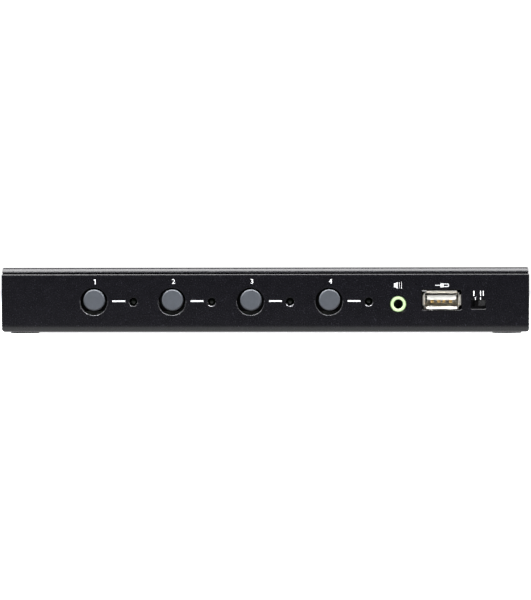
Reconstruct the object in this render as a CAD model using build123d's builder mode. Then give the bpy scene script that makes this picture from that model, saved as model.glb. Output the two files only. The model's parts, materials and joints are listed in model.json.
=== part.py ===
from build123d import *
from math import radians, tan
import os

# A four-port desktop KVM switch. Millimetres, +Z up, the front faces -Y and +X is to the right.
# The origin is on the table, under the middle of the case.

os.makedirs("parts", exist_ok=True)

# Case: a folded steel chassis with a steel cover over it
case_width = 200.0
case_depth = 75.0
case_top = 25.0
case_bottom = 0.5
chassis_sheet = 1.0
cover_sheet = 0.8
panel_top = 22.9
panel_top_radius = 1.1
panel_lower_corner_radius = 1.0
panel_upper_corner_radius = 0.7
panel_end_depth = 1.1
bottom_bend_radius = 2.7
return_flange_depth = 6.0
cover_width = 199.5
cover_lip_bottom = 23.0
cover_lip_radius = 2.4
cover_side_radius = 0.5
cover_side_bottom = 1.6
cover_side_corner_radius = 1.8
cover_side_clearance = 0.05
side_flange_height = 12.0
side_flange_length = 66.0
flange_clearance = 0.1
opening_edge_radius = 0.34

front_face = -case_depth / 2
rear_face = case_depth / 2
panel_inside = front_face + chassis_sheet
panel_end = rear_face - panel_end_depth
cover_side_half_depth = panel_end - cover_side_clearance
flange_outside = cover_width / 2 - cover_sheet - flange_clearance

# Clearances of the panel openings, and their corner radii
round_opening_clearance = 0.2
port_clearance = 0.5
flared_opening_radius = 0.8
port_opening_radius = 0.5

# Fasteners
thread_radius = 1.22
tapped_radius = 1.25
clearance_radius = 1.6
screw_length = 4.5
cover_screw_y = 20.0
cover_screw_z = 7.5
cover_screw_head_radius = 2.6
countersink_angle = 100.0
countersink_slope = tan(radians(countersink_angle / 2))
screw_clearance = 0.05
cross_width = 0.6
pan_head_radius = 2.7
pan_head_height = 1.7
pan_head_edge_radius = 0.6

# Feet sit in round recesses stamped up into the bottom
foot_radius = 5.5
foot_height = 1.5
foot_recess_radius = 6.2
foot_recess_depth = 1.0
foot_edge_radius = 0.15
foot_x = 92.5
foot_y = 28.0

# Circuit board on standoffs
board_width = 187.0
board_depth = 70.0
board_corner_radius = 1.0
board_thickness = 1.6
board_top = 8.4
board_bottom = board_top - board_thickness
standoff_radius = 2.75
standoff_spacing_x = 84.0
standoff_spacing_y = 32.0
standoff_middle_y = -4.0

# Push-buttons with an LED to the right of each
button_count = 4
first_button_x = -64.85
button_pitch = 29.77
button_hole_z = 12.15
button_hole_radius = 5.15
cap_offset_x = 0.2
cap_radius = 4.0
cap_proud = 1.0
cap_length = 5.0
cap_front_radius = 0.5
cap_back_radius = 0.2
button_axis_z = 12.7
switch_width = 11.0
switch_front = -31.5
switch_depth = 8.0
switch_front_wall = 1.2
switch_back_wall = 0.8
body_chamfer = 0.4
stem_radius = 1.5
plunger_flange_radius = 2.5
plunger_flange_thickness = 1.2
plunger_clearance = 0.1
spring_clearance = 0.05
spring_outer_radius = 2.0
spring_inner_radius = 1.3
led_offset_x = 15.03
led_hole_z = 12.0
led_hole_radius = 1.55
led_axis_z = 12.35
led_radius = 1.5

# Front audio jack
jack_x = 50.65
jack_z = 11.05
jack_bore_radius = 1.8
jack_barrel_radius = 3.0
jack_bore_depth = 14.5
jack_proud = 0.4

# USB type A ports, one in front and two at the back
usb_a_x = 67.08
usb_a_z = 12.67
usb_a_opening = (12.5, 5.1)
usb_a_wall = 0.3
usb_a_depth = 13.8
usb_a_flare = (14.5, 7.1)
usb_a_proud = 0.3
usb_a_tongue = (10.9, 1.84)
usb_a_contact_x = (-3.5, -1.0, 1.0, 3.5)
console_usb_x = (70.0, 54.6)

# Slide switch
slide_hole_x = 80.9
slide_hole_z = 11.0
slide_hole = (5.4, 3.5)
slide_hole_radius = 0.4
slide_knob = (2.6, 2.0)
slide_knob_x = 82.25
slide_knob_z = 11.4
slide_travel = 2.0

# Rear connectors
rear_proud = 1.0
power_x = 86.0
power_z = 14.4
power_bore_radius = 3.2
power_pin_radius = 1.0
power_nose_radius = 4.3
power_proud = 0.5
console_video_x = 38.4
video_z = 11.6
video_opening = (14.0, 4.55)
video_wall = 0.45
video_depth = 11.5
video_corner_width = 1.8
video_corner_height = 1.5
video_tongue = (11.4, 1.1)
video_tongue_z = 0.35
first_computer_x = 20.4
computer_pitch = 30.4
usb_b_offset_x = 14.9
usb_b_z = 13.9
usb_b_outer = (12.0, 10.9)
usb_b_opening = (8.45, 7.8)
usb_b_wall = 0.35
usb_b_depth = 16.0
usb_b_corner_width = 1.6
usb_b_corner_height = 1.9
usb_b_tongue = (5.6, 3.2)

button_x = [first_button_x + button_pitch * i for i in range(button_count)]
computer_video_x = [first_computer_x - computer_pitch * i for i in range(button_count)]
computer_usb_x = [x - usb_b_offset_x for x in computer_video_x]


def front_plane(x, z, depth=0.0):
    """A plane in the front panel's face, looking out of the front, moved back by depth."""
    return Plane(origin=(x, front_face + depth, z), x_dir=(1, 0, 0), z_dir=(0, -1, 0))


def rear_plane(x, z, depth=0.0):
    """A plane in the rear panel's face, looking out of the back, moved forward by depth."""
    return Plane(origin=(x, rear_face - depth, z), x_dir=(-1, 0, 0), z_dir=(0, 1, 0))


def write(builder, node):
    """Label a finished piece and write it to its own file."""
    builder.part.label = node
    export_step(builder.part, f"parts/{node}.step")


# ---------------------------------------------------------------- case


def make_base_chassis():
    """One folded strip makes both panels and the bottom, with tapped flanges at the sides."""
    with BuildPart() as base_chassis:
        with BuildSketch(Plane.YZ):
            with BuildLine():
                FilletPolyline(
                    (front_face + return_flange_depth, panel_top),
                    (front_face, panel_top),
                    (front_face, case_bottom),
                    (rear_face, case_bottom),
                    (rear_face, panel_top),
                    (rear_face - return_flange_depth, panel_top),
                    radius=(panel_top_radius, bottom_bend_radius, bottom_bend_radius, panel_top_radius),
                )
                offset(amount=chassis_sheet, side=Side.LEFT)
            make_face()
        extrude(amount=case_width / 2, both=True)

        # The panels' corners are rounded as seen from the front.
        with BuildSketch(Plane.XZ) as panel_outline:
            with Locations((0, (case_bottom + panel_top) / 2)):
                Rectangle(case_width, panel_top - case_bottom)
            fillet(panel_outline.vertices().group_by(Axis.Y)[0], radius=panel_lower_corner_radius)
            fillet(panel_outline.vertices().group_by(Axis.Y)[-1], radius=panel_upper_corner_radius)
        extrude(amount=case_depth, both=True, mode=Mode.INTERSECT)

        # Between the panels the bottom is narrower, so the cover's sides come down beside it.
        # Below the cover's sides, the ends of the two bends stay whole.
        bend_end = rear_face - bottom_bend_radius
        beside_cover = cover_side_bottom - flange_clearance
        for height, half_depth in ((beside_cover, panel_end), (0, bend_end)):
            with BuildSketch(Plane.XY.offset(height)):
                with Locations((flange_outside + case_width / 2, 0), (-flange_outside - case_width / 2, 0)):
                    Rectangle(case_width, 2 * half_depth)
            extrude(amount=case_top, mode=Mode.SUBTRACT)

        # Side flanges, folded up inside the cover's sides
        with BuildSketch(Plane.XY.offset(case_bottom)):
            with GridLocations(2 * flange_outside - chassis_sheet, 0, 2, 1):
                Rectangle(chassis_sheet, side_flange_length)
        extrude(amount=side_flange_height)

        # Tapped holes for the cover screws
        with BuildSketch(Plane.YZ):
            with Locations((cover_screw_y, cover_screw_z), (-cover_screw_y, cover_screw_z)):
                Circle(tapped_radius)
        extrude(amount=case_width / 2, both=True, mode=Mode.SUBTRACT)

        # Foot recesses: a dished disc at each corner, cut off at the side flanges
        with BuildSketch(Plane.XY.offset(case_bottom)):
            with GridLocations(2 * foot_x, 2 * foot_y, 2, 2):
                Circle(foot_recess_radius + chassis_sheet)
            Rectangle(2 * (flange_outside - flange_clearance), case_depth, mode=Mode.INTERSECT)
        extrude(amount=foot_recess_depth + chassis_sheet)
        with BuildSketch(Plane.XY.offset(case_bottom)):
            with GridLocations(2 * foot_x, 2 * foot_y, 2, 2):
                Circle(foot_recess_radius)
        extrude(amount=foot_recess_depth, mode=Mode.SUBTRACT)

        # Openings of the front panel
        with BuildSketch(front_plane(0, 0)):
            with Locations([(x, button_hole_z) for x in button_x]):
                Circle(button_hole_radius)
            with Locations([(x + led_offset_x, led_hole_z) for x in button_x]):
                Circle(led_hole_radius)
            with Locations((jack_x, jack_z)):
                Circle(jack_barrel_radius + round_opening_clearance)
            with Locations((usb_a_x, usb_a_z)):
                RectangleRounded(
                    usb_a_flare[0] + port_clearance,
                    usb_a_flare[1] + port_clearance,
                    flared_opening_radius,
                )
            with Locations((slide_hole_x, slide_hole_z)):
                RectangleRounded(*slide_hole, slide_hole_radius)
        extrude(amount=-2 * chassis_sheet, mode=Mode.SUBTRACT)

        # Openings of the rear panel
        with BuildSketch(rear_plane(0, 0)):
            with Locations((-power_x, power_z)):
                Circle(power_nose_radius + round_opening_clearance)
            with Locations([(-x, usb_a_z) for x in console_usb_x]):
                RectangleRounded(
                    usb_a_opening[0] + 2 * usb_a_wall + port_clearance,
                    usb_a_opening[1] + 2 * usb_a_wall + port_clearance,
                    port_opening_radius,
                )
            with Locations([(-x, video_z) for x in (console_video_x, *computer_video_x)]):
                RectangleRounded(
                    video_opening[0] + 2 * video_wall + port_clearance,
                    video_opening[1] + 2 * video_wall + port_clearance,
                    port_opening_radius,
                )
            with Locations([(-x, usb_b_z) for x in computer_usb_x]):
                RectangleRounded(
                    usb_b_outer[0] + port_clearance,
                    usb_b_outer[1] + port_clearance,
                    port_opening_radius,
                )
        extrude(amount=-2 * chassis_sheet, mode=Mode.SUBTRACT)

        # The powder coat leaves a soft rolled edge round every opening of the front panel.
        in_front = base_chassis.faces().filter_by(Axis.Y).group_by(Axis.Y)[0]
        openings = [wire for face in in_front for wire in face.inner_wires()]
        fillet([edge for wire in openings for edge in wire.edges()], radius=opening_edge_radius)
    write(base_chassis, "base_chassis")


def make_top_cover():
    """Rounded lips close over the panels' tops, and the sides come down between the panels."""
    cover_height = case_top - cover_side_bottom
    cover_middle_z = (case_top + cover_side_bottom) / 2
    with BuildPart() as top_cover:
        # The top rolls down into a lip in front and behind.
        with BuildSketch(Plane.YZ):
            with BuildLine():
                FilletPolyline(
                    (front_face, case_bottom),
                    (front_face, case_top),
                    (rear_face, case_top),
                    (rear_face, case_bottom),
                    radius=cover_lip_radius,
                )
                offset(amount=cover_sheet, side=Side.RIGHT)
            make_face()
            with Locations((0, cover_lip_bottom / 2)):
                Rectangle(2 * case_depth, cover_lip_bottom, mode=Mode.SUBTRACT)
        extrude(amount=cover_width / 2, both=True)

        # Sides
        with BuildSketch(Plane.XZ):
            with Locations((0, cover_middle_z)):
                Rectangle(cover_width, cover_height)
                Rectangle(cover_width - 2 * cover_sheet, cover_height, mode=Mode.SUBTRACT)
        extrude(amount=rear_face, both=True)

        # Trim to the outline seen from the front, then to the outline seen from the side.
        with BuildSketch(Plane.XZ) as front_outline:
            with Locations((0, cover_middle_z)):
                Rectangle(cover_width, cover_height)
            fillet(front_outline.vertices().group_by(Axis.Y)[-1], radius=cover_side_radius)
        extrude(amount=case_depth, both=True, mode=Mode.INTERSECT)
        with BuildSketch(Plane.YZ):
            with Locations((0, cover_middle_z)):
                RectangleRounded(case_depth, cover_height, cover_lip_radius)
            with Locations((0, cover_lip_bottom / 2)):
                Rectangle(2 * case_depth, cover_lip_bottom, mode=Mode.SUBTRACT)
            with Locations((0, cover_middle_z)):
                RectangleRounded(2 * cover_side_half_depth, cover_height, cover_side_corner_radius)
        extrude(amount=cover_width, both=True, mode=Mode.INTERSECT)

        # Countersunk screw holes, two a side
        for direction in (-1, 1):
            outside = Plane(
                origin=(direction * cover_width / 2, 0, cover_screw_z),
                x_dir=(0, direction, 0),
                z_dir=(direction, 0, 0),
            )
            with Locations(outside):
                with Locations((cover_screw_y, 0), (-cover_screw_y, 0)):
                    CounterSinkHole(
                        radius=clearance_radius,
                        counter_sink_radius=cover_screw_head_radius + screw_clearance,
                        depth=2 * cover_sheet,
                        counter_sink_angle=countersink_angle,
                    )
    write(top_cover, "top_cover")


def make_cover_screws():
    """Thin countersunk screws, flush with the cover's sides."""
    head_height = cover_sheet - 0.02
    head_top_radius = cover_screw_head_radius - screw_clearance
    head_bottom_radius = head_top_radius - head_height * countersink_slope
    cross_length = 2.6
    cross_depth = 0.5
    with BuildPart() as cover_screws:
        for direction in (-1, 1):
            for y in (-cover_screw_y, cover_screw_y):
                head = Plane(
                    origin=(direction * cover_width / 2, y, cover_screw_z),
                    x_dir=(0, 1, 0),
                    z_dir=(direction, 0, 0),
                )
                with BuildSketch(head):
                    Circle(thread_radius)
                extrude(amount=-screw_length)
                with Locations(head.offset(-head_height / 2)):
                    Cone(head_bottom_radius, head_top_radius, head_height)
                with BuildSketch(head):
                    Rectangle(cross_length, cross_width)
                    Rectangle(cross_width, cross_length)
                extrude(amount=-cross_depth, mode=Mode.SUBTRACT)
    write(cover_screws, "cover_screws")


def make_feet():
    """Self-adhesive rubber discs with a softened lower edge."""
    places = {
        "foot_front_left": (-foot_x, -foot_y),
        "foot_front_right": (foot_x, -foot_y),
        "foot_rear_left": (-foot_x, foot_y),
        "foot_rear_right": (foot_x, foot_y),
    }
    for node, place in places.items():
        with BuildPart() as foot:
            with BuildSketch(Plane.XY):
                with Locations(place):
                    Circle(foot_radius)
            extrude(amount=foot_height)
            fillet(foot.edges().group_by(Axis.Z)[0], radius=foot_edge_radius)
        write(foot, node)


# ---------------------------------------------------------------- circuit board


def make_main_board():
    """The circuit board, with its mounting holes."""
    with BuildPart() as main_board:
        with BuildSketch(Plane.XY.offset(board_bottom)):
            RectangleRounded(board_width, board_depth, board_corner_radius)
            with Locations((0, standoff_middle_y)):
                with GridLocations(standoff_spacing_x, standoff_spacing_y, 3, 2):
                    Circle(clearance_radius, mode=Mode.SUBTRACT)
        extrude(amount=board_thickness)
    write(main_board, "main_board")


def make_board_standoffs():
    """Hexagonal standoffs, riveted to the bottom and tapped right through."""
    with BuildPart() as board_standoffs:
        with BuildSketch(Plane.XY.offset(case_bottom + chassis_sheet)):
            with Locations((0, standoff_middle_y)):
                with GridLocations(standoff_spacing_x, standoff_spacing_y, 3, 2):
                    RegularPolygon(standoff_radius, 6)
                    Circle(tapped_radius, mode=Mode.SUBTRACT)
        extrude(amount=board_bottom - case_bottom - chassis_sheet)
    write(board_standoffs, "board_standoffs")


def make_board_screws():
    """Pan-head screws with a cross recess, down through the board into the standoffs."""
    cross_length = 2.8
    cross_depth = 0.8
    with BuildPart() as board_screws:
        with BuildSketch(Plane.XY.offset(board_top)):
            with Locations((0, standoff_middle_y)):
                with GridLocations(standoff_spacing_x, standoff_spacing_y, 3, 2):
                    Circle(pan_head_radius)
        extrude(amount=pan_head_height)
        fillet(board_screws.edges().group_by(Axis.Z)[-1], radius=pan_head_edge_radius)
        with BuildSketch(Plane.XY.offset(board_top)):
            with Locations((0, standoff_middle_y)):
                with GridLocations(standoff_spacing_x, standoff_spacing_y, 3, 2):
                    Circle(thread_radius)
        extrude(amount=-screw_length)
        with BuildSketch(Plane.XY.offset(board_top + pan_head_height)):
            with Locations((0, standoff_middle_y)):
                with GridLocations(standoff_spacing_x, standoff_spacing_y, 3, 2):
                    Rectangle(cross_length, cross_width)
                    Rectangle(cross_width, cross_length)
        extrude(amount=-cross_depth, mode=Mode.SUBTRACT)
    write(board_screws, "board_screws")


def make_board_chips():
    """The moulded chips: a video switch, a USB hub and a small receiver for each port."""
    lead_height = 0.1
    chip_height = 1.2
    with BuildPart() as board_chips:
        with BuildSketch(Plane.XY.offset(board_top + lead_height)):
            with Locations((24.0, -8.0)):
                Rectangle(14.0, 14.0)
            with Locations((60.0, -6.0)):
                Rectangle(9.0, 9.0)
            with Locations([(x, 10.0) for x in computer_video_x]):
                Rectangle(7.0, 7.0)
        extrude(amount=chip_height)
        chamfer(board_chips.edges().group_by(Axis.Z)[-1], length=0.2)
    write(board_chips, "board_chips")


# ---------------------------------------------------------------- push-buttons


def make_push_button(number, x):
    """A momentary switch on the board, its sprung plunger and the round cap in the panel."""
    axis_x = x + cap_offset_x
    cap_front = front_face - cap_proud
    cap_back = cap_front + cap_length
    socket_depth = 3.0
    stem_front = cap_front + 2.05
    with BuildPart() as button_cap:
        with BuildSketch(front_plane(axis_x, button_axis_z, -cap_proud)):
            Circle(cap_radius)
        extrude(amount=-cap_length)
        fillet(button_cap.edges().group_by(Axis.Y)[0], radius=cap_front_radius)
        fillet(button_cap.edges().group_by(Axis.Y)[-1], radius=cap_back_radius)
        with BuildSketch(Plane.XZ.offset(-cap_back)):
            with Locations((axis_x, button_axis_z)):
                Circle(stem_radius + 0.02)
        extrude(amount=socket_depth, mode=Mode.SUBTRACT)
    write(button_cap, f"button_cap_{number}")

    # The plunger's flange is caught in the body's cavity, with the spring behind it.
    switch_back = switch_front + switch_depth
    cavity_front = switch_front + switch_front_wall
    cavity_back = switch_back - switch_back_wall
    flange_front = cavity_front + plunger_clearance
    flange_back = flange_front + plunger_flange_thickness
    spring_pin_radius = spring_inner_radius - 0.3
    spring_pin_length = 1.5
    with BuildPart() as switch_plunger:
        with BuildSketch(Plane.XZ.offset(-flange_front)):
            with Locations((axis_x, button_axis_z)):
                Circle(stem_radius)
        extrude(amount=flange_front - stem_front)
        with BuildSketch(Plane.XZ.offset(-flange_back)):
            with Locations((axis_x, button_axis_z)):
                Circle(plunger_flange_radius)
        extrude(amount=flange_back - flange_front)
        with BuildSketch(Plane.XZ.offset(-flange_back)):
            with Locations((axis_x, button_axis_z)):
                Circle(spring_pin_radius)
        extrude(amount=-spring_pin_length)
    write(switch_plunger, f"switch_plunger_{number}")

    with BuildPart() as switch_spring:
        with BuildSketch(Plane.XZ.offset(-cavity_back + spring_clearance)):
            with Locations((axis_x, button_axis_z)):
                Circle(spring_outer_radius)
                Circle(spring_inner_radius, mode=Mode.SUBTRACT)
        extrude(amount=cavity_back - flange_back - 2 * spring_clearance)
    write(switch_spring, f"switch_spring_{number}")

    with BuildPart() as switch_body:
        with BuildSketch(Plane.XZ.offset(-switch_back)):
            with Locations((axis_x, button_axis_z)):
                Rectangle(switch_width, 2 * (button_axis_z - board_top))
        extrude(amount=switch_depth)
        chamfer(switch_body.edges().filter_by(Axis.Y), length=body_chamfer)
        with BuildSketch(Plane.XZ.offset(-cavity_back)):
            with Locations((axis_x, button_axis_z)):
                Circle(plunger_flange_radius + plunger_clearance)
        extrude(amount=cavity_back - cavity_front, mode=Mode.SUBTRACT)
        with BuildSketch(Plane.XZ.offset(-cavity_front)):
            with Locations((axis_x, button_axis_z)):
                Circle(stem_radius + plunger_clearance / 2)
        extrude(amount=cavity_front - switch_front, mode=Mode.SUBTRACT)
    write(switch_body, f"switch_body_{number}")


def make_led(number, x):
    """A round 3 mm LED, its lead frame bent down to the board."""
    axis_x = x + led_offset_x
    tip = panel_inside + 0.15
    lens_back = tip + 4.2
    rim_back = lens_back + 1.0
    lead_bend = rim_back + 1.3
    lead = 0.5
    lead_pitch = 1.6
    with BuildPart() as led:
        with BuildSketch(Plane.XZ.offset(-lens_back)):
            with Locations((axis_x, led_axis_z)):
                Circle(led_radius)
        extrude(amount=lens_back - tip)
        fillet(led.edges().group_by(Axis.Y)[0], radius=led_radius - 0.15)
        with BuildSketch(Plane.XZ.offset(-rim_back)):
            with Locations((axis_x, led_axis_z)):
                Circle(led_radius + 0.4)
        extrude(amount=rim_back - lens_back)
        with BuildSketch(Plane.XZ.offset(-lead_bend)):
            with Locations((axis_x, led_axis_z)):
                with GridLocations(lead_pitch, 0, 2, 1):
                    Rectangle(lead, lead)
        extrude(amount=lead_bend - rim_back)
        with BuildSketch(Plane.XY.offset(board_top)):
            with Locations((axis_x, lead_bend + lead / 2)):
                with GridLocations(lead_pitch, 0, 2, 1):
                    Rectangle(lead, lead)
        extrude(amount=led_axis_z + lead / 2 - board_top)
    write(led, f"led_{number}")


def make_led_holders():
    """Black blocks that hold each LED square to the panel."""
    front = panel_inside + 2.25
    block = (4.6, 2.1, 6.3)
    with BuildPart() as led_holders:
        with BuildSketch(Plane.XY.offset(board_top)):
            with Locations([(x + led_offset_x, front + block[1] / 2) for x in button_x]):
                Rectangle(block[0], block[1])
        extrude(amount=block[2])
        with BuildSketch(Plane.XZ.offset(-front)):
            with Locations([(x + led_offset_x, led_axis_z) for x in button_x]):
                Circle(led_radius + 0.05)
        extrude(amount=-block[1], mode=Mode.SUBTRACT)
    write(led_holders, "led_holders")


# ---------------------------------------------------------------- front audio jack


def make_audio_jack():
    """The jack's moulded body with its round barrel, and the contact springs beside the bore."""
    body_front = panel_inside + 1.1
    body_width = 8.0
    body_length = 13.2
    body_height = 2 * (jack_z - board_top)
    barrel_root = 0.1
    slot = (0.8, 5.0, 4.6)
    contact = (0.3, 4.6, 4.0)
    contact_places = ((jack_x - 2.6, body_front + 4.0), (jack_x + 2.6, body_front + 8.0))
    with BuildPart() as audio_jack_body:
        with BuildSketch(Plane.XY.offset(board_top)):
            with Locations((jack_x, body_front + body_length / 2)):
                Rectangle(body_width, body_length)
        extrude(amount=body_height)
        chamfer(audio_jack_body.edges().filter_by(Axis.Y), length=body_chamfer)
        with BuildSketch(front_plane(jack_x, jack_z, -jack_proud)):
            Circle(jack_barrel_radius)
        extrude(amount=front_face - jack_proud - body_front - barrel_root)
        fillet(audio_jack_body.edges().group_by(Axis.Y)[0], radius=0.35)
        with BuildSketch(front_plane(jack_x, jack_z, -jack_proud)):
            Circle(jack_bore_radius)
        extrude(amount=-jack_bore_depth, mode=Mode.SUBTRACT)
        rim = audio_jack_body.edges().group_by(Axis.Y)[0].sort_by(SortBy.RADIUS)[0]
        chamfer(rim, length=0.15)
        with BuildSketch(Plane.XY.offset(board_top + body_height)):
            with Locations(*contact_places):
                Rectangle(slot[0], slot[1])
        extrude(amount=-slot[2], mode=Mode.SUBTRACT)
    write(audio_jack_body, "audio_jack_body")

    with BuildPart() as audio_jack_contacts:
        with BuildSketch(Plane.XY.offset(board_top + body_height - slot[2] + 0.1)):
            with Locations(*contact_places):
                Rectangle(contact[0], contact[1])
        extrude(amount=contact[2])
    write(audio_jack_contacts, "audio_jack_contacts")


# ---------------------------------------------------------------- USB type A ports


def side_plane(mouth, sideways=0.0):
    """The upright plane through a port's axis: its x runs outwards and its y upwards."""
    outwards = mouth.z_dir
    shift = mouth.x_dir * sideways
    return Plane(origin=mouth.origin + shift, x_dir=outwards, z_dir=outwards.cross(Vector(0, 0, 1)))


def make_usb_a_shell(node, mouth, flared):
    """A folded metal shell with spring fingers; flared says whether its mouth is flared."""
    width, height = usb_a_opening
    outer_width = width + 2 * usb_a_wall
    outer_height = height + 2 * usb_a_wall
    flare_depth = 0.8 if flared else 0.0
    skirt_depth = 3.2
    skirt_top = outer_height / 2 - 1.0
    skirt_bottom = board_top - mouth.origin.Z
    with BuildPart() as usb_shell:
        with BuildSketch(mouth.offset(-flare_depth)):
            RectangleRounded(outer_width, outer_height, 0.6)
        extrude(amount=flare_depth - usb_a_depth)
        # Side skirts reach down to the board, behind the panel.
        with BuildSketch(mouth.offset(-skirt_depth)):
            with Locations((0, (skirt_top + skirt_bottom) / 2)):
                with GridLocations(outer_width - usb_a_wall, 0, 2, 1):
                    Rectangle(usb_a_wall, skirt_top - skirt_bottom)
        extrude(amount=skirt_depth - usb_a_depth)
        with BuildSketch(mouth):
            RectangleRounded(width, height, 0.3)
        extrude(amount=-usb_a_depth, mode=Mode.SUBTRACT)

        # Two spring fingers above and two below, each in its own window
        window_width = 2.2
        window_length = 5.4
        finger_width = 1.6
        finger_root = 7.75
        finger_bend = 3.4
        finger_tip = 2.7
        finger_sheet = 0.25
        finger_dip = 0.6
        for sideways in (-3.3, 3.3):
            with BuildSketch(side_plane(mouth, sideways)):
                with Locations((-finger_tip - window_length / 2 + 0.4, 0)):
                    Rectangle(window_length, 2 * outer_height)
            extrude(amount=window_width / 2, both=True, mode=Mode.SUBTRACT)
            with BuildSketch(side_plane(mouth, sideways)):
                for up in (-1, 1):
                    Polygon(
                        (-finger_root, up * height / 2),
                        (-finger_root, up * outer_height / 2),
                        (-finger_bend, up * (height / 2 - finger_dip + finger_sheet)),
                        (-finger_tip, up * (height / 2 - 0.05)),
                        (-finger_tip, up * (height / 2 - 0.05 - finger_sheet)),
                        (-finger_bend, up * (height / 2 - finger_dip)),
                        align=None,
                    )
            extrude(amount=finger_width / 2, both=True)

        # Lips fold outwards at the mouth, with a notch at each corner.
        if flared:
            lip_up = usb_a_flare[1] / 2
            lip_out = usb_a_flare[0] / 2
            lip_sheet = 0.3
            lip_round = 0.05
            lip_root = flare_depth + 0.01
            notch = 0.85
            with BuildSketch(side_plane(mouth)):
                for up in (-1, 1):
                    Polygon(
                        (-lip_root, up * height / 2),
                        (-lip_root, up * outer_height / 2),
                        (-lip_sheet / 2, up * lip_up),
                        (0, up * (lip_up - lip_round)),
                        (0, up * (lip_up - lip_sheet)),
                        align=None,
                    )
            extrude(amount=outer_width / 2 - notch, both=True)
            with BuildSketch(Plane.XY.offset(mouth.origin.Z)):
                with Locations((mouth.origin.X, mouth.origin.Y)):
                    for out in (-1, 1):
                        Polygon(
                            (out * width / 2, lip_root),
                            (out * outer_width / 2, lip_root),
                            (out * lip_out, lip_sheet / 2),
                            (out * (lip_out - lip_round), 0),
                            (out * (lip_out - lip_sheet), 0),
                            align=None,
                        )
            extrude(amount=outer_height / 2 - notch, both=True)
    write(usb_shell, node)


def make_usb_a_insulators(node, mouths):
    """The plastic inner block of each port, with its tongue in the upper half."""
    width, height = usb_a_opening
    block_front = 10.2
    block_back = usb_a_depth + 1.0
    tongue_front = 1.4
    tongue_middle = 0.93
    base_front = 3.3
    play = 0.05
    with BuildPart() as usb_insulators:
        for mouth in mouths:
            board_height = board_top - mouth.origin.Z
            shell_bottom = -height / 2 - usb_a_wall - play
            with BuildSketch(mouth.offset(-block_front)):
                RectangleRounded(width - 2 * play, height - 2 * play, 0.4)
            extrude(amount=block_front - block_back)
            with BuildSketch(mouth.offset(-tongue_front)):
                with Locations((0, tongue_middle)):
                    Rectangle(*usb_a_tongue)
            extrude(amount=tongue_front - block_front)
            # Behind the shell and under it, the block stands on the board.
            with BuildSketch(mouth.offset(-usb_a_depth - play)):
                with Locations((0, (height / 2 + board_height) / 2)):
                    Rectangle(width, height / 2 - board_height)
            extrude(amount=usb_a_depth + play - block_back)
            with BuildSketch(mouth.offset(-base_front)):
                with Locations((0, (board_height + shell_bottom) / 2)):
                    Rectangle(width - 4 * play, shell_bottom - board_height)
            extrude(amount=base_front - block_back)
    write(usb_insulators, node)


def make_usb_a_contacts(node, mouths):
    """Four sprung contacts under each tongue, bowed down near the mouth."""
    contact_width = 1.0
    block_face = -10.15
    strip_top = -0.02
    strip_bottom = -0.24
    bow_top = -0.82
    bow_bottom = -1.06
    with BuildPart() as usb_contacts:
        for mouth in mouths:
            for sideways in usb_a_contact_x:
                with BuildSketch(side_plane(mouth, sideways)):
                    Polygon(
                        (block_face, strip_top),
                        (-5.2, strip_top),
                        (-3.4, bow_top),
                        (-2.9, bow_top),
                        (-2.1, strip_top),
                        (-1.8, -0.14),
                        (-2.8, bow_bottom),
                        (-3.5, bow_bottom),
                        (-5.3, strip_bottom),
                        (block_face, strip_bottom),
                        align=None,
                    )
                extrude(amount=contact_width / 2, both=True)
    write(usb_contacts, node)


# ---------------------------------------------------------------- slide switch


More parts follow.
